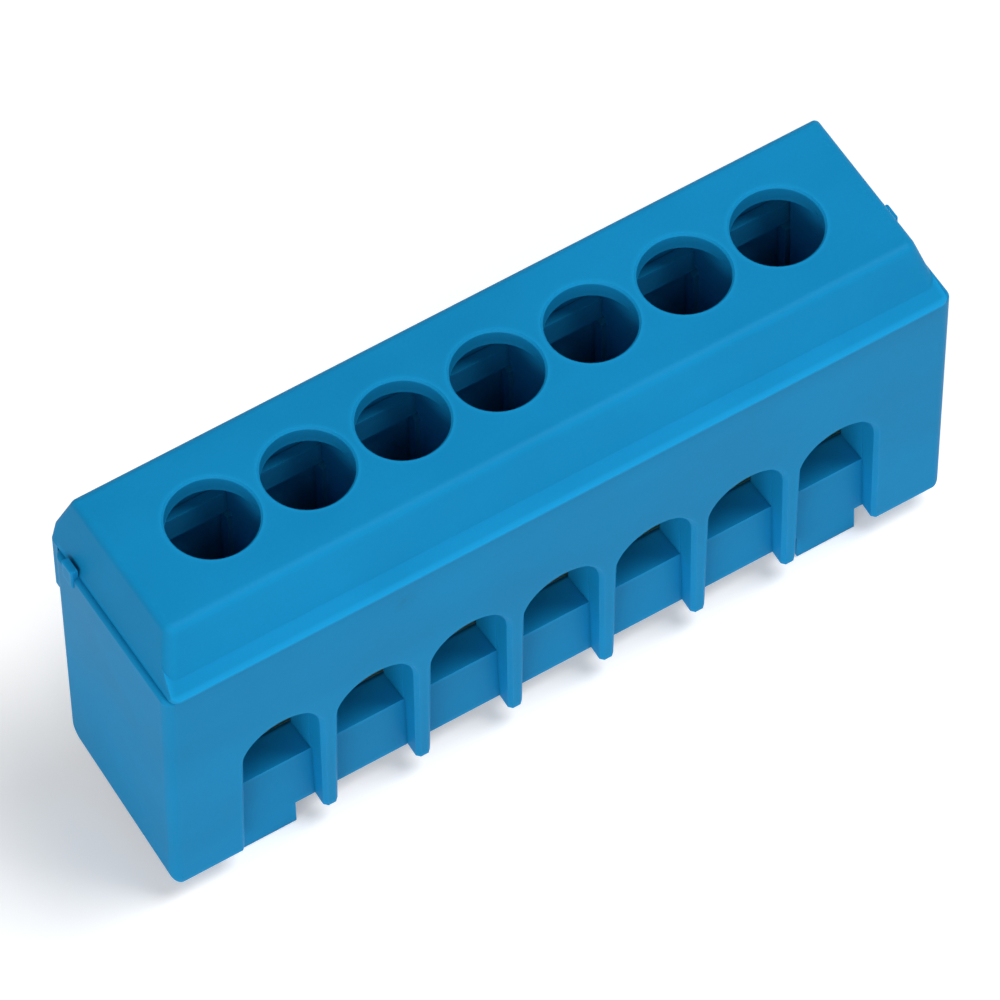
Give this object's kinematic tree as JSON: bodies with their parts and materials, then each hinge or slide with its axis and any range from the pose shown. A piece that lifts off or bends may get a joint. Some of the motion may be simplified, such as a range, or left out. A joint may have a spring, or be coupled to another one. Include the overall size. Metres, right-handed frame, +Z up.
{
  "type": "tap-off terminal",
  "caption": "Insulated tap-off terminal block: a row of arched wire entries leads to one common brass bar, with a clamping screw over each way under a cap with screwdriver holes.",
  "frame": {"origin": "middle of the footprint, at the level the feet stand on", "axes": "+X along the row of ways, -Y towards the side the wires enter, +Z up to the screwdriver holes"},
  "size_m": [0.059, 0.0154, 0.0288],
  "materials": {
    "blue_plastic": "satin moulded polyamide",
    "brass": "plain milled",
    "screw_steel": "zinc plated"
  },
  "bodies": {
    "terminal": {"housing": "blue_plastic", "cap": "blue_plastic", "terminal_bar": "brass"},
    "screw_1": {"clamp_screw_1": "screw_steel"},
    "screw_2": {"clamp_screw_2": "screw_steel"},
    "screw_3": {"clamp_screw_3": "screw_steel"},
    "screw_4": {"clamp_screw_4": "screw_steel"},
    "screw_5": {"clamp_screw_5": "screw_steel"},
    "screw_6": {"clamp_screw_6": "screw_steel"},
    "screw_7": {"clamp_screw_7": "screw_steel"}
  },
  "joints": [
    {"name": "clamp_travel_1", "type": "slide", "parent": "terminal", "child": "screw_1", "axis": [0, 0, 1], "range_m": [-0.0032, 0]},
    {"name": "clamp_travel_2", "type": "slide", "parent": "terminal", "child": "screw_2", "axis": [0, 0, 1], "range_m": [-0.0032, 0]},
    {"name": "clamp_travel_3", "type": "slide", "parent": "terminal", "child": "screw_3", "axis": [0, 0, 1], "range_m": [-0.0032, 0]},
    {"name": "clamp_travel_4", "type": "slide", "parent": "terminal", "child": "screw_4", "axis": [0, 0, 1], "range_m": [-0.0032, 0]},
    {"name": "clamp_travel_5", "type": "slide", "parent": "terminal", "child": "screw_5", "axis": [0, 0, 1], "range_m": [-0.0032, 0]},
    {"name": "clamp_travel_6", "type": "slide", "parent": "terminal", "child": "screw_6", "axis": [0, 0, 1], "range_m": [-0.0032, 0]},
    {"name": "clamp_travel_7", "type": "slide", "parent": "terminal", "child": "screw_7", "axis": [0, 0, 1], "range_m": [-0.0032, 0]}
  ]
}
